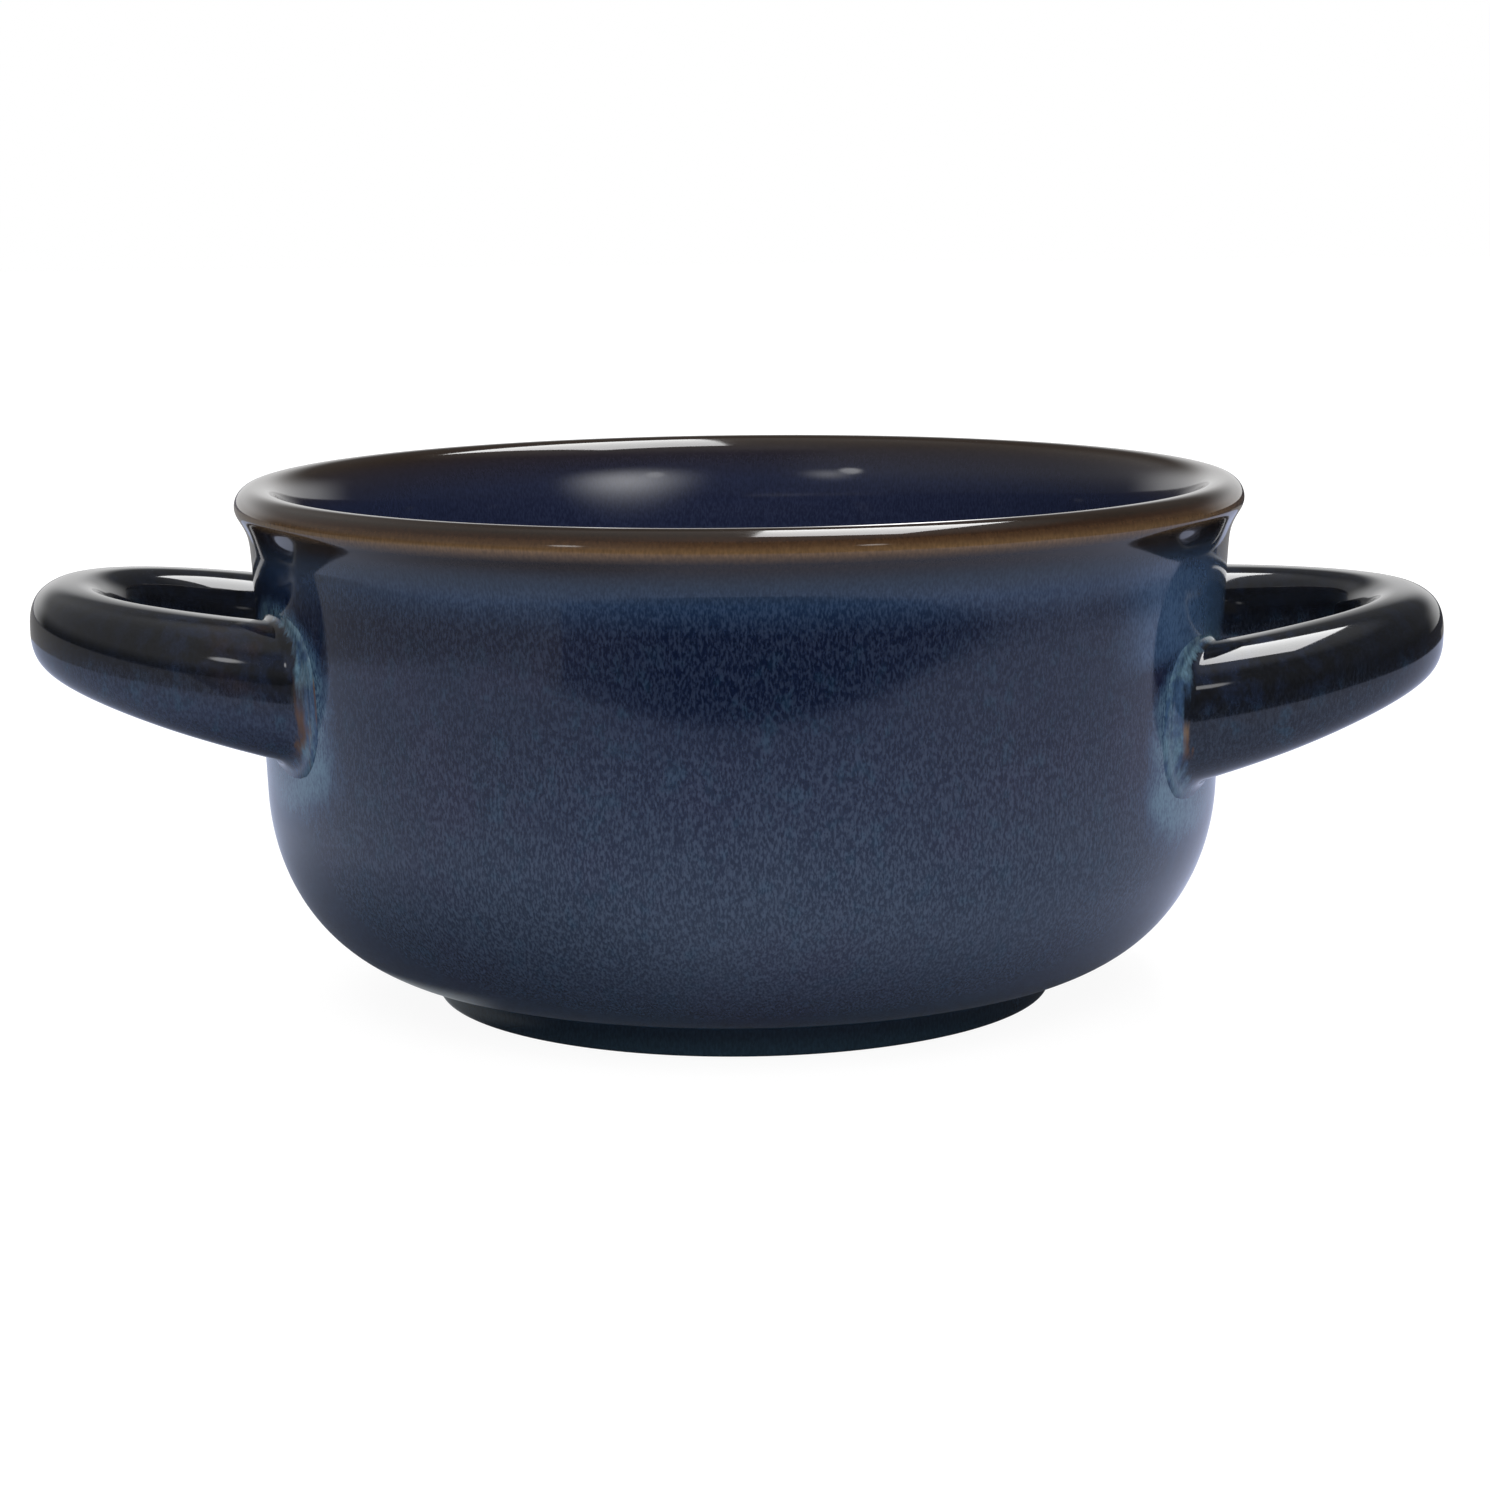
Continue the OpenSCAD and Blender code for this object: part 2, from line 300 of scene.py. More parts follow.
# a coat of glaze: smooth, with its thickness inside the surface, fixed to the crock
def coatPiece(name, bm, finish):
    piece = addMesh(name, bm, finish)
    piece.data.shade_smooth()
    shell = piece.modifiers.new("glaze thickness", "SOLIDIFY")
    shell.thickness = bowlSizes["shell"]
    shell.offset = -1.0
    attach(piece, "root")
    return piece


def makeBowlGlaze(finish):
    skin, runs, marks = profile.skin()
    s = bowlSizes
    bm = bmesh.new()
    runLayer = bm.verts.layers.float.new("skinRun")
    verts = []
    for point, run in zip(skin, runs):
        vert = bm.verts.new((point.x, 0.0, point.y))
        vert[runLayer] = run / mm
        verts.append(vert)
    edges = [bm.edges.new(pair) for pair in zip(verts, verts[1:])]
    bmesh.ops.spin(bm, geom=verts + edges, cent=(0, 0, 0), axis=(0, 0, 1), angle=2 * math.pi,
                   steps=s["turnSteps"], use_merge=True)
    bmesh.ops.remove_doubles(bm, verts=bm.verts, dist=1e-6)
    bmesh.ops.recalc_face_normals(bm, faces=bm.faces)
    for vert in bm.verts:  # slight unevenness of a turned wall, only ever inwards and not at the roots
        wave = noise.noise(vert.co * s["waverScale"]) * 0.5 + 0.5
        outside = 1.0 if vert[runLayer] * mm < marks["neck"] else 0.0
        calm = clamp((vert.co.z - s["footHeight"]) / s["bellyHeight"])
        calm *= clamp((s["waverEnd"] - abs(vert.co.x)) / s["waverFade"])
        radial = Vector((vert.co.x, vert.co.y, 0.0))
        if radial.length > 1e-6:
            vert.co -= radial.normalized() * wave * outside * calm * s["waver"]
    piece = coatPiece("bowl_glaze", bm, finish)
    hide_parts("outer_glaze", "rim_glaze", "liner_glaze")
    print("bowl glaze spun,", len(piece.data.polygons), "faces")


# loop handles: the section runs from root to tip, the lift and tilt of each are listed
handleSizes = {
    "span": 53.0 * mm, "reach": 37.2 * mm, "power": 2.3, "sectionPower": 2.6,
    "rootDrop": 27.4 * mm, "tipDrop": 20.6 * mm,
    "rootSize": (17.6 * mm, 18.0 * mm), "tipSize": (10.0 * mm, 11.0 * mm),
    "bead": 1.8 * mm, "skirt": 1.2 * mm, "sink": 0.17 * mm,
    "sides": 72, "beadSteps": 14, "strandSteps": 110,
    "left": {"side": -1, "lift": 1.0 * mm, "tilt": -1.1 * mm, "tip": 0.4 * mm, "out": 0.1 * mm},
    "right": {"side": 1, "lift": -0.6 * mm, "tilt": 3.9 * mm, "tip": -0.8 * mm, "out": -0.8 * mm},
}


# height of the handles' roots before the lift and tilt of each
def rootHeight():
    return profile.crest.y + bowlSizes["glaze"] - handleSizes["rootDrop"]


class HandleStrand:
    def __init__(self, s, setting):
        self.s = s
        self.side = setting["side"]
        self.lift, self.tilt, self.tip, self.out = [setting[k] for k in ("lift", "tilt", "tip", "out")]
        self.rootZ = rootHeight()
        self.tipZ = self.rootZ + s["rootDrop"] - s["tipDrop"]
        self.half = s["span"] / 2
        self.rootX = self.seat(self.half, self.rootZ)
        self.long = s["reach"] - s["tipSize"][0] / 2

    # clay wall's x at a place beside the root
    def seat(self, y, z):
        s = bowlSizes
        radius = profile.wallRadius(z)
        if z < s["bellyHeight"]:
            reach = profile.wallRadius(s["footHeight"]) - s["footRadius"] - s["footFillet"]
            drop = (s["bellyHeight"] - z) / (s["bellyHeight"] - s["footHeight"])
            radius -= reach * (1 - (1 - drop ** s["bellyPower"]) ** (1 / s["bellyPower"]))
        return math.sqrt(radius * radius - y * y)

    # angle on the plan curve at which the strand is d away from the wall
    def turn(self, d):
        return math.acos((max(d, 0.0) / self.long) ** (self.s["power"] / 2))

    # how far from the wall the strand is at an angle on the plan curve
    def away(self, angle):
        return self.long * squarer(math.cos(angle), self.s["power"])

    # places one ring's vertices: angle along the strand, growth all round
    def place(self, ring, angle, grow, sink):
        s = self.s
        power = s["power"]
        px = self.away(angle)
        py = self.half * squarer(math.sin(angle), power)
        slope = math.copysign((abs(py) / self.half) ** (power - 1) / self.half, py)
        normal = Vector(((px / self.long) ** (power - 1) / self.long, slope)).normalized()
        f = px / self.long
        sizes = zip(s["rootSize"], s["tipSize"])
        wide, tall = [(root * (1 - f) + tip * f) / 2 + grow for root, tip in sizes]
        rootMiddle = self.rootZ + self.tilt * py / s["span"]
        middle = rootMiddle * (1 - f) + (self.tipZ + self.tip) * f + self.lift
        settle = max(0.0, 1 - px / s["rootSize"][0]) ** 2
        for i, vert in enumerate(ring):
            q = 2 * math.pi * i / len(ring)
            out, up = [squarer(v, s["sectionPower"]) for v in (math.cos(q), math.sin(q))]
            y = py + normal.y * wide * out
            z = middle + tall * up
            x = self.rootX + px + self.out * f + normal.x * wide * out - sink
            x += settle * (self.seat(y, z) - profile.dip(z) - self.rootX)
            vert.co = (self.side * x, y, z)
            yield vert, up


def makeHandleGlaze(label, finish):
    s = handleSizes
    strand = HandleStrand(s, s[label])
    glaze = bowlSizes["glaze"]
    inner = s["bead"] - glaze
    # angle, growth and sink of each ring: a skirt under the wall's glaze, the bead, then the loop
    stations = [(strand.turn(glaze), s["bead"] + s["skirt"], s["sink"])]
    for i in range(s["beadSteps"] + 1):
        t = math.pi / 2 * i / s["beadSteps"]
        angle = strand.turn(s["bead"] - inner * math.cos(t))
        stations.append((angle, s["bead"] - inner * math.sin(t), 0.0))
    start = strand.turn(s["bead"])
    loop = [(start - 2 * start * i / s["strandSteps"], glaze, 0.0) for i in range(1, s["strandSteps"])]
    stations += loop + [(-angle, grow, sink) for angle, grow, sink in reversed(stations)]
    bm = bmesh.new()
    runLayer = bm.verts.layers.float.new("strandRun")
    crownLayer = bm.verts.layers.float.new("crown")
    ring = bmesh.ops.create_circle(bm, segments=s["sides"], radius=s["bead"])["verts"]
    edges = list(bm.edges)
    for i, (angle, grow, sink) in enumerate(stations):
        if i:
            made = bmesh.ops.extrude_edge_only(bm, edges=edges)["geom"]
            fresh = {v for v in made if isinstance(v, bmesh.types.BMVert)}
            edges = [e for e in made if isinstance(e, bmesh.types.BMEdge) and fresh.issuperset(e.verts)]
            ring = [next(e.other_vert(v) for e in v.link_edges if e.other_vert(v) in fresh) for v in ring]
        for vert, up in strand.place(ring, angle, grow, sink):
            vert[runLayer] = strand.away(angle) / mm
            vert[crownLayer] = up
    bmesh.ops.recalc_face_normals(bm, faces=bm.faces)
    piece = coatPiece(label + "_handle_coat", bm, finish)
    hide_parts(label + "_handle_glaze")
    print(label, "handle swept,", len(piece.data.polygons), "faces")


# the glaze's colours
glazeColours = {
    "pool": (0.022, 0.044, 0.064), "ink": (0.0085, 0.0135, 0.030), "slate": (0.0145, 0.021, 0.040),
    "blue": (0.026, 0.037, 0.058), "azure": (0.015, 0.030, 0.061), "smoke": (0.020, 0.028, 0.041),
    "umber": (0.024, 0.017, 0.013), "honey": (0.125, 0.072, 0.032), "amber": (0.025, 0.010, 0.004),
    "iron": (0.011, 0.0065, 0.004), "liner": (0.012, 0.016, 0.037), "black": (0.0045, 0.005, 0.0065),
    "teal": (0.014, 0.042, 0.068), "violet": (0.026, 0.024, 0.048), "burnt": (0.022, 0.010, 0.005),
    "halo": (0.098, 0.172, 0.220), "wash": (0.036, 0.072, 0.135), "rust": (0.066, 0.030, 0.012),
    "tide": (0.055, 0.100, 0.175), "steel": (0.012, 0.016, 0.025), "flake": (0.019, 0.024, 0.030),
}

# the glaze's noises, as scales across and up, detail and roughness, and its skin
glazeGrains = {
    "fine": ((3300.0, 3300.0, 1350.0), 2.0, 0.6), "runs": ((900.0, 900.0, 110.0), 2.0, 0.6),
    "cloud": ((60.0, 60.0, 55.0), 3.0, 0.55), "patch": ((380.0, 380.0, 300.0), 3.0, 0.6),
    "ripple": ((130.0, 130.0, 110.0), 1.0, 0.5),
    "furEnds": (0.26, 0.74), "flakeEnds": (0.41, 0.65), "ground": 0.4,
    "peel": 0.004 * mm, "dullPatches": 0.05,
}


# crystal fur, long runs and soft clouds that every coat of this glaze shares
class GlazeGrain:
    def __init__(self, start):
        g = glazeGrains
        self.place = start.node("ShaderNodeTexCoord", out="Object")
        split = [start.node("ShaderNodeSeparateXYZ", {}, {0: self.place}, out=axis) for axis in "XYZ"]
        self.x, self.y, self.z = [v / mm for v in split]
        fine, self.runs, self.cloud, self.patch, self.ripple = [
            self.place.grain(*g[name]) for name in ("fine", "runs", "cloud", "patch", "ripple")]
        self.fur = fine.rise(*g["furEnds"])
        self.flake = fine.rise(*g["flakeEnds"])

    # fur that darkens and lightens a colour about its own value
    def furred(self, colour, depth):
        tone = (1.0 - depth) + self.fur * (2.0 * depth)
        return self.place.node("ShaderNodeMix", {"data_type": "RGBA", "blend_type": "MULTIPLY"},
                               {0: 1.0, 6: colour, 7: tone}, out=2)

    # pale crystals on a deeper ground, about the same mean colour
    def flaked(self, colour, depth):
        tone = glazeColours["flake"]
        ground = (depth * glazeGrains["ground"]).lay(colour, tone, "SUBTRACT")
        return (depth * self.flake).lay(ground, tone, "ADD")

    # wet surface: slight orange peel and a gloss that is a little duller in patches
    def wet(self, shader, dullness):
        feed(shader, "Roughness", dullness + self.patch * glazeGrains["dullPatches"])
        feed(shader, "Normal", self.place.node("ShaderNodeBump", {}, {
            "Strength": 1.0, "Distance": glazeGrains["peel"], "Height": self.ripple}))

    # distance in mm from the nearest handle root's outline on the wall, and how far above its middle
    def rootAway(self):
        s = handleSizes
        right = self.x.rise(-1.0, 1.0)
        middles = [(rootHeight() + v["lift"]) / mm + self.y * (v["tilt"] / s["span"])
                   for v in (s["left"], s["right"])]
        middle = middles[0] * (1.0 - right) + middles[1] * right
        across = abs(self.y) - s["span"] / 2 / mm
        above = self.z - middle
        wide, tall = [size / 2 / mm for size in s["rootSize"]]
        power = s["sectionPower"]
        ratio = (abs(across / wide) ** power + abs(above / tall) ** power) ** (1.0 / power)
        length = (across * across + above * above) ** 0.5
        away = length * (1.0 - 1.0 / ratio.calc("MAXIMUM", ratio, 0.2))
        return away, above / tall


# heights in mm at which each colour is reached up the outside, and mm past the crest inside
wallBands = [(0.0, "pool"), (6.5, "pool"), (10.5, "blue"), (23.0, "blue"), (37.4, "slate"), (46.0, "ink"),
             (59.0, "ink"), (62.8, "azure"), (65.4, "smoke"), (67.3, "umber"), (68.0, "umber"),
             (69.4, "honey"), (70.5, "amber"), (71.5, "iron")]
linerBands = [(3.0, "iron"), (9.0, "liner")]

# depth of the fur, wander of the borders in mm, and reach of the wash round a root in mm
wallLooks = {
    "fur": 0.2, "dullness": 0.045, "teal": 0.3, "violet": 0.3, "linerFlakes": 0.25, "fewerFlakes": 0.4,
    "lipWander": 0.3, "runWander": 1.8, "cloudWander": 12.0,
    "washReach": 7.4, "washBelow": 3.6, "washAbove": 2.4,
}


def wallFinish():
    c, looks = glazeColours, wallLooks
    finish, shader, start = newFinish("reactive blue glaze", IOR=1.5)
    grain = GlazeGrain(start)
    marks = {name: run / mm for name, run in profile.skin()[2].items()}
    run = start.node("ShaderNodeAttribute", {"attribute_name": "skinRun"}, out="Fac")
    neck, crest, total = marks["wall"], marks["lip"], marks["floor"]
    # colour along the skin, whose borders break into short runs on the wall
    low = run.fall(neck - 14.0, neck - 2.0)
    shifted = run + (grain.runs - 0.5) * (looks["lipWander"] + low * looks["runWander"])
    shifted = shifted + (grain.cloud - 0.5) * low * looks["cloudWander"]
    stops = [(profile.runAt(height), c[name]) for height, name in wallBands]
    stops += [(crest + past, c[name]) for past, name in linerBands]
    colour = shifted.bands(stops + [(total, c["liner"])])
    blueWall = run.rise(4.0, 14.0) * low
    colour = (grain.patch.rise(0.52, 0.7) * blueWall * looks["teal"]).lay(colour, c["teal"])
    colour = (grain.cloud.rise(0.5, 0.7) * blueWall * looks["violet"]).lay(colour, c["violet"])
    colour = grain.furred(colour, looks["fur"])
    flakes = run.rise(5.0, 12.0) * run.fall(profile.runAt(61.5), profile.runAt(66.0))
    flakes = flakes + run.rise(crest + 8.0, crest + 16.0) * looks["linerFlakes"]
    fewer = run.rise(profile.runAt(40.0), profile.runAt(50.0)) * looks["fewerFlakes"]
    colour = grain.flaked(colour, flakes * (1.0 - fewer))
    # pale wash round the handle roots that has run down the wall
    away, above = grain.rootAway()
    beneath = 0.0 - above
    side = abs(grain.x).rise(38.0, 44.0) * run.rise(8.0, 16.0) * run.fall(neck - 4.0, neck)
    reach = looks["washReach"] + beneath.rise(0.3, 1.3) * looks["washBelow"]
    reach = reach - above.rise(0.4, 1.2) * looks["washAbove"]
    fade = away / (reach * (0.55 + grain.runs * 0.4 + grain.patch * 0.5))
    mottle = (grain.patch * 0.6 + grain.fur * 0.4).rise(0.32, 0.6)
    wash = fade.fall(0.5, 1.0) * side
    tone = (mottle * fade.fall(0.3, 0.9)).lay(c["wash"], c["halo"])
    colour = (wash * (0.5 + grain.fur * 0.4)).lay(colour, tone)
    drip = beneath.rise(0.5, 1.0) * fade.fall(0.4, 0.72) * side
    colour = (drip * (0.45 + mottle * 0.45)).lay(colour, c["halo"])
    # blue bloom on the neck above the right roots
    bloom = grain.x.rise(46.0, 56.0) * above.rise(0.9, 1.3) * run.fall(neck - 3.0, neck + 2.0)
    colour = (bloom * (0.7 + grain.fur * 0.3)).lay(colour, mottle.lay(c["wash"], c["tide"]))
    feed(shader, "Base Color", colour)
    grain.wet(shader, looks["dullness"])
    return finish


# depth of the fur, strength of each stain, and the joint's lines in mm from the wall
handleLooks = {
    "fur": 0.25, "dullness": 0.04, "flakes": 0.5, "teal": 0.5, "warm": 0.8, "rootInk": 0.6, "tipInk": 0.15,
    "wander": 1.6, "leftShift": 0.4, "lineStart": (0.85, 1.05), "lineEnd": (1.3, 1.6), "paleEnd": (0.7, 1.4),
}


def handleFinish():
    c, looks = glazeColours, handleLooks
    finish, shader, start = newFinish("dark handle glaze", IOR=1.5)
    grain = GlazeGrain(start)
    run, crown = [start.node("ShaderNodeAttribute", {"attribute_name": name}, out="Fac")
                  for name in ("strandRun", "crown")]
    under = (grain.cloud * 0.5 - crown).rise(-0.1, 0.75)
    left = grain.x.fall(-1.0, 1.0)
    inked = looks["rootInk"] - run.rise(6.0, 18.0) * (looks["rootInk"] - looks["tipInk"])
    colour = (grain.patch.rise(0.4, 0.65) * inked).lay(c["black"], c["ink"])
    colour = under.lay(colour, left.lay(c["steel"], c["slate"]))
    colour = (grain.patch.rise(0.5, 0.7) * under * looks["teal"]).lay(colour, c["teal"])
    warm = grain.cloud.rise(0.45, 0.6) * run.fall(3.0, 10.0) * crown.rise(-0.4, 0.5) * left
    colour = (warm * looks["warm"]).lay(colour, c["burnt"])
    colour = grain.flaked(grain.furred(colour, looks["fur"]), under * looks["flakes"])
    # the joint: iron gathers above the bead in a line that is shorter on the right
    border = run + (grain.runs - 0.5) * looks["wander"] + left * looks["leftShift"]
    top = crown - (left * 0.4 - 0.05)
    line = border.rise(*looks["lineStart"]) * border.fall(*looks["lineEnd"]) * top.fall(-0.1, 0.1)
    line = line * (crown + left * 0.25).rise(-0.6, -0.4) * grain.cloud.rise(0.35, 0.5)
    colour = line.lay(colour, top.rise(-0.3, -0.05).lay(c["rust"], c["honey"]))
    # and glaze breaks pale over the bead
    pale = border.fall(*looks["paleEnd"]) * (0.5 + grain.fur * 0.4)
    colour = pale.lay(colour, grain.patch.rise(0.38, 0.62).lay(c["wash"], c["halo"]))
    feed(shader, "Base Color", colour)
    grain.wet(shader, looks["dullness"])
    return finish


# bare clay of the foot ring, the hidden clay pieces and the slip
clayLooks = {
    "stoneware": ((0.42, 0.33, 0.23), (0.54, 0.45, 0.34)),
    "slip": ((0.36, 0.29, 0.21), (0.46, 0.38, 0.29)),
    "speck": (0.11, 0.07, 0.04), "specks": 620.0,
    "sand": ((900.0, 900.0, 900.0), 4.0, 0.65), "body": ((60.0, 60.0, 60.0), 3.0, 0.5),
    "tooth": 0.1 * mm,
}


def clayFinish(name):
    looks = clayLooks
    finish, shader, start = newFinish(name + " clay", IOR=1.45)
    place = start.node("ShaderNodeTexCoord", out="Object")
    sand, body = place.grain(*looks["sand"]), place.grain(*looks["body"])
    colour = body.rise(0.3, 0.7).lay(*looks[name])
    specks = place.node("ShaderNodeTexVoronoi", {}, {"Vector": place, "Scale": looks["specks"]})
    colour = (specks.fall(0.08, 0.2) * body.rise(0.42, 0.6)).lay(colour, looks["speck"])
    feed(shader, "Base Color", colour)
    feed(shader, "Roughness", 0.62 + sand * 0.3)
    feed(shader, "Normal", place.node("ShaderNodeBump", {}, {
        "Strength": 0.6, "Distance": looks["tooth"], "Height": sand}))
    return finish


# the coat in the foot's hollow: the same blue, dipped thinner and burnt at its edge
def hollowFinish():
    c = glazeColours
    finish, shader, start = newFinish("hollow glaze", IOR=1.5)
    grain = GlazeGrain(start)
    away = (grain.x * grain.x + grain.y * grain.y) ** 0.5
    colour = (grain.cloud + away / 120.0).rise(0.35, 0.85).lay(c["ink"], c["blue"])
    colour = (away.rise(33.5, 36.5) * 0.8).lay(colour, c["burnt"])
    feed(shader, "Base Color", grain.furred(colour, 0.3))
    grain.wet(shader, 0.1)
    return finish


def dressFrame():
    clay, slip, hollow = clayFinish("stoneware"), clayFinish("slip"), hollowFinish()
    for name, node in nodes.items():
        finish = slip if name.endswith("_slip") else hollow if name == "base_glaze" else clay
        for slot in node.material_slots:
            slot.material = finish
    print("frame dressed in clay, slip and hollow glaze")


dressFrame()
makeBowlGlaze(wallFinish())
handleGlaze = handleFinish()
for label in ("left", "right"):
    makeHandleGlaze(label, handleGlaze)

# camera fitted to the photograph's outlines
cameraSet = {"distance": 480.0 * mm, "height": 117.9 * mm, "pitch": 9.925, "yaw": 0.055, "roll": 0.597,
             "focal": 3439.2, "frame": 1490, "sensor": 36.0, "near": 10.0 * mm}


def makeCamera(c):
    data = bpy.data.cameras.new("camera")
    data.sensor_width = c["sensor"]
    data.lens = c["focal"] / c["frame"] * c["sensor"]
    data.clip_start = c["near"]
    camera = bpy.data.objects.new("camera", data)
    bpy.context.scene.collection.objects.link(camera)
    yaw, pitch, roll = [math.radians(v) for v in (-c["yaw"], 90 - c["pitch"], -c["roll"])]
    turn = Matrix.Rotation(yaw, 4, "Z") @ Matrix.Rotation(pitch, 4, "X") @ Matrix.Rotation(roll, 4, "Z")
    camera.matrix_world = Matrix.Translation((0.0, -c["distance"], c["height"])) @ turn
    bpy.context.scene.camera = camera
    print("camera set", c["distance"], "m away")


makeCamera(cameraSet)

# a round-cornered pale table in a dim room: a white backdrop behind, grey walls in front
studio = {
    "table": {"middle": (0.012, 0.055), "left": 0.33, "right": 0.342, "deep": 0.316,
              "leftPower": 2.8, "rightPower": 2.5, "corners": 128, "gap": 0.2 * mm},
    "bench": {"corner": (-0.168, -0.230), "turn": -39.0, "half": 1.0, "back": 0.2, "drop": 1.0 * mm},
    "floor": {"half": 3.0, "drop": 2.0 * mm},
    "whiteFloor": 0.93, "shadowFloor": 0.10,
    "room": 0.06, "leftWall": 0.32, "rightWall": 0.05, "ceiling": 0.40, "backdrop": 0.85,
}

# each floor's own colour, and the tones that the glaze mirrors ahead of the crock and beside it: painted
# light and shade on the floor, with a painted contact shadow, glint and glow near the foot
floorTones = {
    "table": {"own": (0.235, 0.285, 0.40), "ahead": (0.42, 0.49, 0.72),
              "left": (0.54, 0.60, 0.78), "right": (0.59, 0.645, 0.865)},
    "bench": {"own": (0.125, 0.15, 0.20), "ahead": (0.22, 0.215, 0.22),
              "left": (0.34, 0.335, 0.335), "right": (0.30, 0.29, 0.29)},
    "floor": {"own": (0.02, 0.02, 0.02), "ahead": (0.03, 0.03, 0.035),
              "left": (0.18, 0.18, 0.21), "right": (0.06, 0.06, 0.07)},
    "contact": {"start": 0.046, "length": 0.10, "shorter": 0.06, "shade": (0.055, 0.06, 0.075),
                "glint": (0.28, 0.30, 0.32)},
    # painted glow under the foot: a pale tone that lights the foot's underside within the ring and shows in
    # the hollow's glaze
    "footGlow": {"tone": (0.6, 0.6, 0.6), "ring": (0.0422, 0.0428), "hollow": (0.038, 0.039)},
}


# what the glaze mirrors: the floor's tones as painted light and shade, a painted contact shadow close to the
# foot, and a painted glint at the foot's left
def mirroredTone(tones, x, y, far):
    contact = floorTones["contact"]
    aside = 1.0 - abs(x).fall(0.05, 0.22) * y.fall(-0.12, 0.03)
    tone = aside.lay(tones["ahead"], x.rise(-0.1, 0.1).lay(tones["left"], tones["right"]))
    # painted glint: lighter floor at the foot's left; below, the painted contact shadow darkens the mirrored
    # floor close to the foot
    glint = x.fall(-0.042, -0.033) * far.fall(0.049, 0.055)
    shade = glint.lay(contact["shade"], contact["glint"])
    length = contact["length"] - x.rise(-0.06, 0.0) * contact["shorter"]
    return ((far - contact["start"]) / length).rise(0.0, 1.0).lay(shade, tone)


# white to the camera with a faint shadow, painted light and shade in what the glaze mirrors, clear from
# below, with a painted glow under the foot
def floorFinish(name):
    tones, under = floorTones[name], floorTones["footGlow"]
    finish, shader, start = newFinish(name, Roughness=0.9, Specular_IOR_Level=0.0)
    shader.inputs["Base Color"].default_value = (*tones["own"], 1.0)
    place = start.node("ShaderNodeTexCoord", out="Object")
    x, y = [start.node("ShaderNodeSeparateXYZ", {}, {0: place}, out=axis) for axis in "XY"]
    far = start.node("ShaderNodeVectorMath", {"operation": "LENGTH"}, {0: place}, out="Value")
    camera, glossy, diffuse = [start.node("ShaderNodeLightPath", out="Is " + way + " Ray")
                               for way in ("Camera", "Glossy", "Diffuse")]
    white = far.rise(0.1, 0.3).lay((studio["whiteFloor"],) * 3, (1.0, 1.0, 1.0))
    shadow = start.node("ShaderNodeBsdfDiffuse", {}, {"Color": (*(studio["shadowFloor"],) * 3, 1.0)})
    seen = start.node("ShaderNodeAddShader", {}, {
        0: start.node("ShaderNodeEmission", {}, {0: white}), 1: shadow})
    # painted glow under the foot: diffuse light meets a pale tone within the ring, and the glaze mirrors it
    # within the hollow
    ring = diffuse * far.fall(*under["ring"])
    footGlow = ring + glossy * far.fall(*under["hollow"])
    tone = footGlow.lay(mirroredTone(tones, x, y, far), under["tone"])
    mirrored = start.node("ShaderNodeEmission", {}, {0: tone})
    plain = Socket(start.tree, shader.outputs[0])
    lit = start.node("ShaderNodeMixShader", {}, {0: glossy + ring, 1: plain, 2: mirrored})
    top = start.node("ShaderNodeMixShader", {}, {0: camera, 1: lit, 2: seen})
    below = start.node("ShaderNodeNewGeometry", out="Backfacing")
    clear = start.node("ShaderNodeBsdfTransparent")
    feedSurface(finish, start.node("ShaderNodeMixShader", {}, {0: below, 1: top, 2: clear}))
    return finish


def makeTable(c):
    bm = bmesh.new()
    ring = bmesh.ops.create_circle(bm, cap_ends=True, segments=c["corners"], radius=1.0)["verts"]
    for vert in ring:
        side = "left" if vert.co.x < 0 else "right"
        x, y = [squarer(along, c[side + "Power"]) for along in vert.co.xy]
        vert.co = (c["middle"][0] + c[side] * x, c["middle"][1] + c["deep"] * y, -c["gap"])
    addMesh("table", bm, floorFinish("table"))


# the dark floor, and a paler bench to the left of the table, each a little lower
def makeFloor(c):
    bench = c["bench"]
    spin = Matrix.Rotation(math.radians(bench["turn"]), 3, "Z")
    for name in ("floor", "bench"):
        half = c[name]["half"]
        bm = bmesh.new()
        bmesh.ops.create_grid(bm, x_segments=1, y_segments=1, size=half)
        if name == "bench":
            bmesh.ops.translate(bm, vec=(-half, -half * bench["back"], 0.0), verts=bm.verts)
            bmesh.ops.rotate(bm, cent=(0, 0, 0), matrix=spin, verts=bm.verts)
            bmesh.ops.translate(bm, vec=(*bench["corner"], 0.0), verts=bm.verts)
        bmesh.ops.translate(bm, vec=(0.0, 0.0, -c[name]["drop"]), verts=bm.verts)
        addMesh(name, bm, floorFinish(name))


def makeWorld(c):
    world = bpy.data.worlds.new("studio")
    bpy.context.scene.world = world
    world.use_nodes = True
    start = Socket(world.node_tree)
    way = start.node("ShaderNodeTexCoord", out="Generated")
    across, depth, height = [start.node("ShaderNodeSeparateXYZ", {}, {0: way}, out=axis) for axis in "XYZ"]
    right = across.rise(-0.5, -0.1)
    rightLevel = c["rightWall"] + height.rise(0.68, 0.92) * c["ceiling"]
    level = c["room"] + height.rise(0.0, 0.3) * ((1.0 - right) * c["leftWall"] + right * rightLevel)
    level = level + depth.rise(0.55, 0.85) * height.fall(0.12, 0.4) * c["backdrop"]
    camera = start.node("ShaderNodeLightPath", out="Is Camera Ray")
    feed(world.node_tree.nodes["Background"], "Color", level + camera * (1.0 - level))


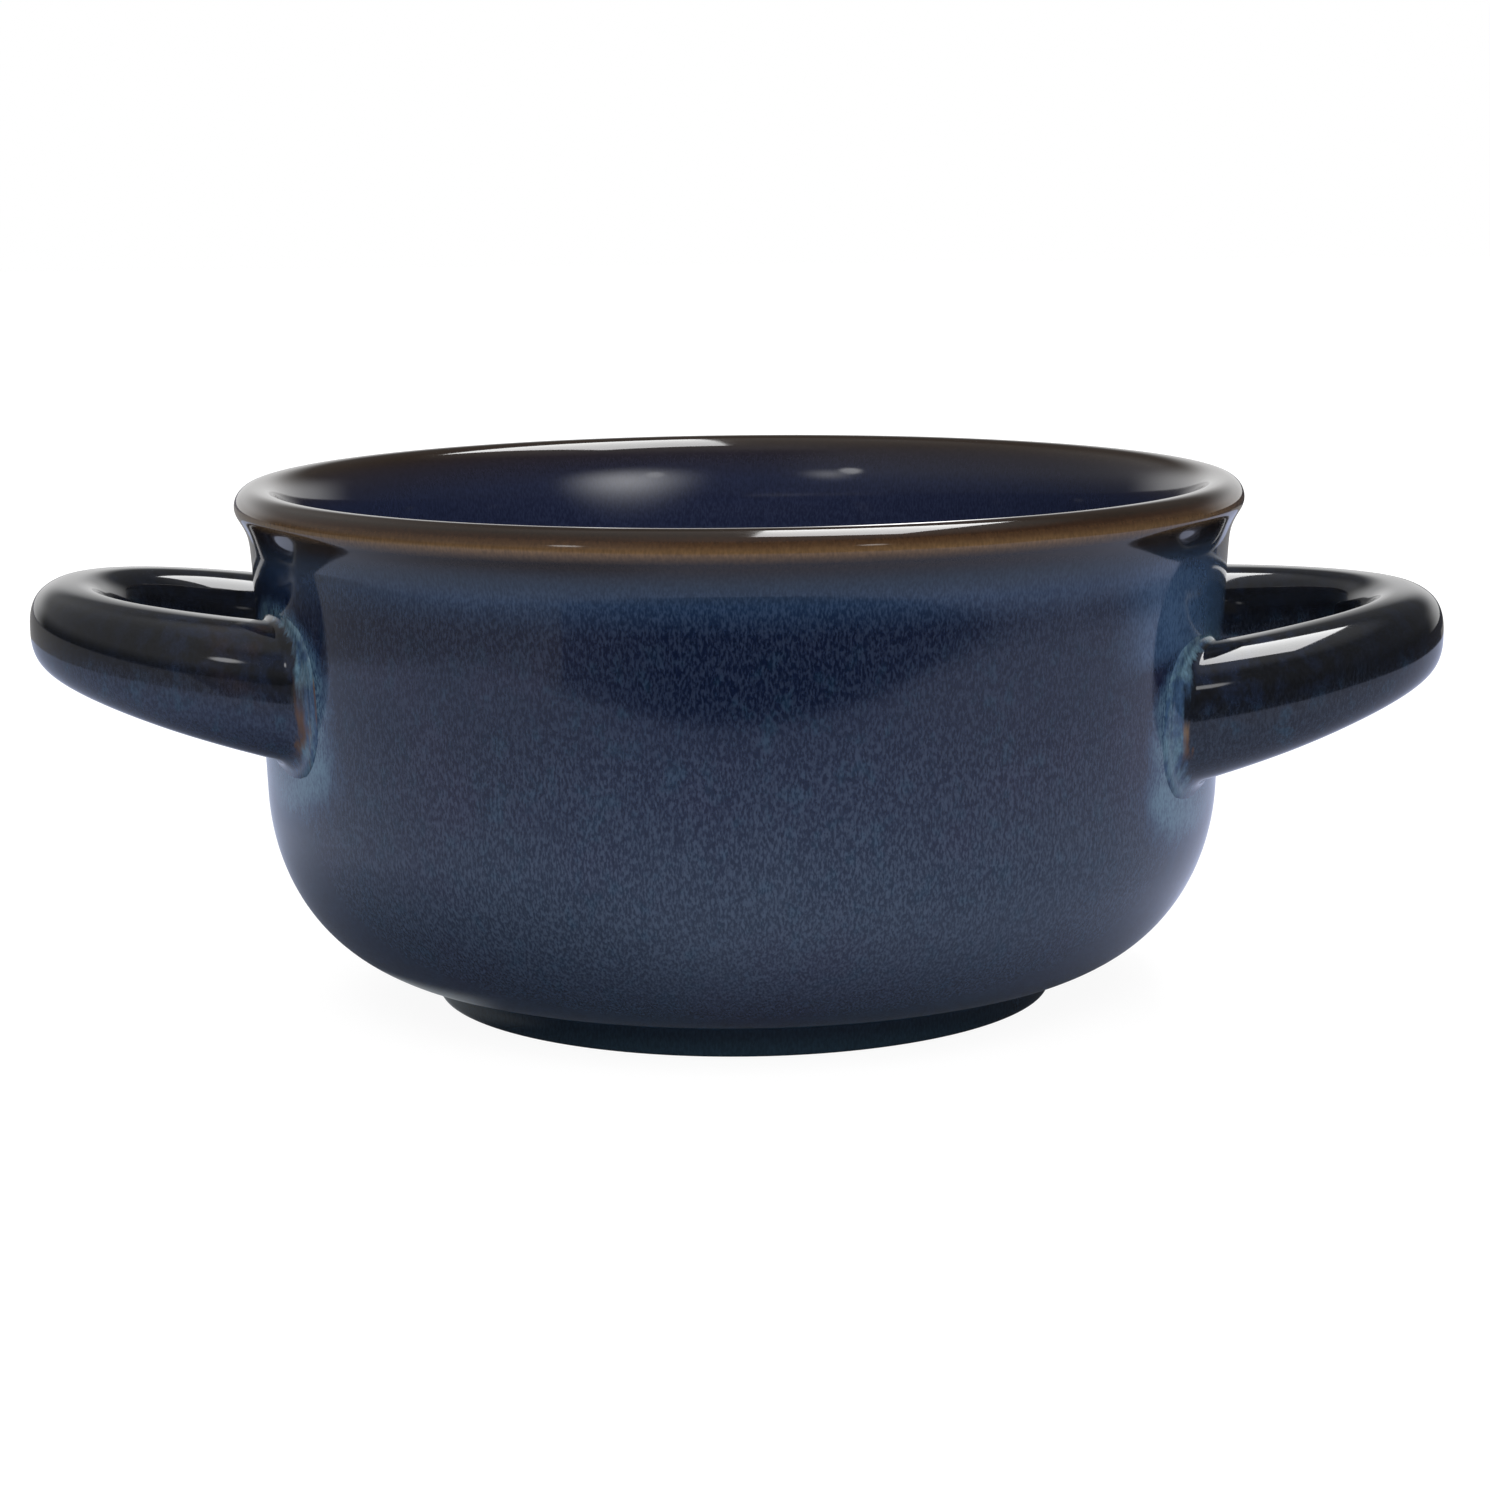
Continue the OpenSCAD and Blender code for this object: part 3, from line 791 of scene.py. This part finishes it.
# soft glows near the crock that only the glaze mirrors
glows = {
    "right spark": {"place": (0.123, -0.255, 0.148), "aim": (0.060, -0.035, 0.047),
                    "radius": 0.020, "core": 0.5, "level": 4.0},
    "left spark": {"place": (-0.163, -0.238, 0.161), "aim": (-0.068, -0.034, 0.052),
                   "radius": 0.024, "core": 0.5, "level": 5.0},
    "wide glow": {"place": (0.0232, -0.0078, 0.0791), "aim": (-0.017, 0.060, 0.066),
                  "radius": 0.026, "core": 0.0, "level": 5.0},
    "small glow": {"place": (-0.0187, -0.0101, 0.0838), "aim": (0.014, 0.061, 0.066),
                   "radius": 0.010, "core": 0.0, "level": 2.5},
}


def makeGlow(name, c):
    finish, shader, start = newFinish(name)
    start.tree.nodes.remove(shader)
    place = start.node("ShaderNodeTexCoord", out="Object")
    away = start.node("ShaderNodeVectorMath", {"operation": "DISTANCE"}, {0: place, 1: c["place"]},
                      out="Value")
    soft = away.fall(c["core"] * c["radius"], c["radius"]) ** 2.0
    light = start.node("ShaderNodeEmission", {}, {0: (1.0, 1.0, 1.0, 1.0), 1: c["level"]})
    clear = start.node("ShaderNodeBsdfTransparent")
    glossy = start.node("ShaderNodeLightPath", out="Is Glossy Ray")
    feedSurface(finish, start.node("ShaderNodeMixShader", {}, {0: glossy * soft, 1: clear, 2: light}))
    bm = bmesh.new()
    bmesh.ops.create_circle(bm, cap_ends=True, segments=48, radius=c["radius"])
    facing = (Vector(c["aim"]) - Vector(c["place"])).to_track_quat("Z", "Y").to_matrix()
    bmesh.ops.rotate(bm, cent=(0, 0, 0), matrix=facing, verts=bm.verts)
    bmesh.ops.translate(bm, vec=c["place"], verts=bm.verts)
    addMesh(name, bm, finish)


# soft panels: where each hangs, what it faces, its size, its power, and whether the glaze mirrors it
panels = {
    "panel above": {"place": (0.215, 0.25, 1.0), "aim": (0.215, 0.25, 0.0),
                    "size": (0.37, 0.90), "power": 11.0, "mirrored": True},
    "front fill": {"place": (0.1, -1.15, 0.9), "aim": (0.0, 0.0, 0.04),
                   "size": (1.2, 0.9), "power": 24.0, "mirrored": False},
    "back fill": {"place": (-0.2, 1.15, 0.9), "aim": (0.0, 0.0, 0.04),
                  "size": (1.2, 0.9), "power": 22.0, "mirrored": False},
}


def makePanel(name, c):
    data = bpy.data.lights.new(name, "AREA")
    data.shape = "RECTANGLE"
    data.size, data.size_y = c["size"]
    data.energy = c["power"]
    lamp = bpy.data.objects.new(name, data)
    bpy.context.scene.collection.objects.link(lamp)
    lamp.visible_glossy = c["mirrored"]
    facing = (Vector(c["place"]) - Vector(c["aim"])).to_track_quat("Z", "Y").to_matrix()
    lamp.matrix_world = Matrix.Translation(c["place"]) @ facing.to_4x4()


makeTable(studio["table"])
makeFloor(studio)
makeWorld(studio)
for name, c in glows.items():
    makeGlow(name, c)
for name, c in panels.items():
    makePanel(name, c)
print("studio lit by", len(panels), "panels and", len(glows), "glows")
bpy.context.scene.view_settings.view_transform = "Standard"

print("scene ready")
